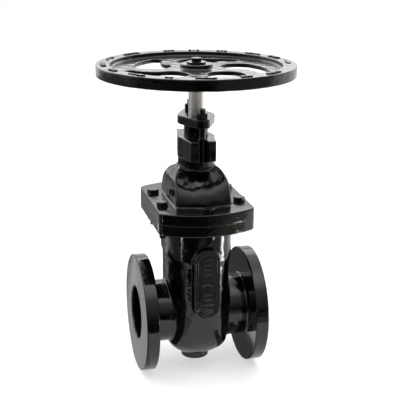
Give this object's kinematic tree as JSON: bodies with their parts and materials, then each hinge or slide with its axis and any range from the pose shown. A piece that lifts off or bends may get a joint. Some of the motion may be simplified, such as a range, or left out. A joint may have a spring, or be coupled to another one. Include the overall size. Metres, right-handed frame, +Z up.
{
  "type": "gate valve",
  "caption": "Flanged wedge gate valve with a domed bonnet, bolted gland, inside-screw stem and a large flat handwheel with swirl slots; it opens or shuts a pipeline.",
  "frame": {"origin": "on the pipe axis, directly under the stem, midway between the two flange faces", "axes": "+X along the pipe from inlet to outlet, +Z up along the stem, -Y towards the front pad"},
  "size_m": [0.36, 0.36, 0.5891],
  "materials": {
    "black_enamel": "gloss black enamel over cast iron",
    "painted_fasteners": "black paint over steel",
    "bright_steel": "turned and polished",
    "bronze": "machined",
    "bare_iron": "as cast, machined faces",
    "gasket_sheet": "matt fibre sheet",
    "braided_packing": "graphited braid"
  },
  "bodies": {
    "valve_body": {"body": "black_enamel", "bonnet": "black_enamel", "bonnet_gasket": "gasket_sheet", "seat_ring_inlet": "bronze", "seat_ring_outlet": "bronze", "thrust_ring": "bronze", "packing_ring_1": "braided_packing", "packing_ring_2": "braided_packing", "packing_ring_3": "braided_packing", "gland_bolt_1": "painted_fasteners", "gland_bolt_2": "painted_fasteners", "bonnet_bolt_1": "painted_fasteners", "bonnet_bolt_2": "painted_fasteners", "bonnet_bolt_3": "painted_fasteners", "bonnet_bolt_4": "painted_fasteners", "bonnet_bolt_5": "painted_fasteners", "bonnet_bolt_6": "painted_fasteners", "bonnet_nut_1": "painted_fasteners", "bonnet_nut_2": "painted_fasteners", "bonnet_nut_3": "painted_fasteners", "bonnet_nut_4": "painted_fasteners", "bonnet_nut_5": "painted_fasteners", "bonnet_nut_6": "painted_fasteners"},
    "wheel_and_stem": {"stem": "bright_steel", "handwheel": "black_enamel", "wheel_washer": "painted_fasteners", "wheel_bolt": "painted_fasteners"},
    "wedge_carriage": {"wedge": "bare_iron", "wedge_ring_inlet": "bronze", "wedge_ring_outlet": "bronze", "stem_nut": "bronze"},
    "gland": {"gland_flange": "black_enamel"},
    "gland_nut_front": {"gland_nut_1": "painted_fasteners"},
    "gland_nut_back": {"gland_nut_2": "painted_fasteners"}
  },
  "joints": [
    {"name": "wheel_turn", "type": "hinge", "parent": "valve_body", "child": "wheel_and_stem", "pos_m": [0, 0, 0.45], "axis": [0, 0, 1], "range_deg": [0, 8280]},
    {"name": "wedge_lift", "type": "slide", "parent": "valve_body", "child": "wedge_carriage", "axis": [0, 0, 1], "range_m": [0, 0.1151]},
    {"name": "gland_slide", "type": "slide", "parent": "valve_body", "child": "gland", "axis": [0, 0, 1], "range_m": [0, 0.006]},
    {"name": "gland_nut_front_turn", "type": "hinge", "parent": "gland", "child": "gland_nut_front", "pos_m": [0, -0.0465, 0.382], "axis": [0, 0, 1], "range_deg": [0, 1235]},
    {"name": "gland_nut_back_turn", "type": "hinge", "parent": "gland", "child": "gland_nut_back", "pos_m": [0, 0.0465, 0.382], "axis": [0, 0, 1], "range_deg": [0, 1235]}
  ],
  "couplings": [
    {"joint": "wedge_lift", "follows": "wheel_turn", "m_per_rad": 0.00079577},
    {"joint": "gland_nut_front_turn", "follows": "gland_slide", "rad_per_m": 3590.4},
    {"joint": "gland_nut_back_turn", "follows": "gland_slide", "rad_per_m": 3590.4}
  ]
}
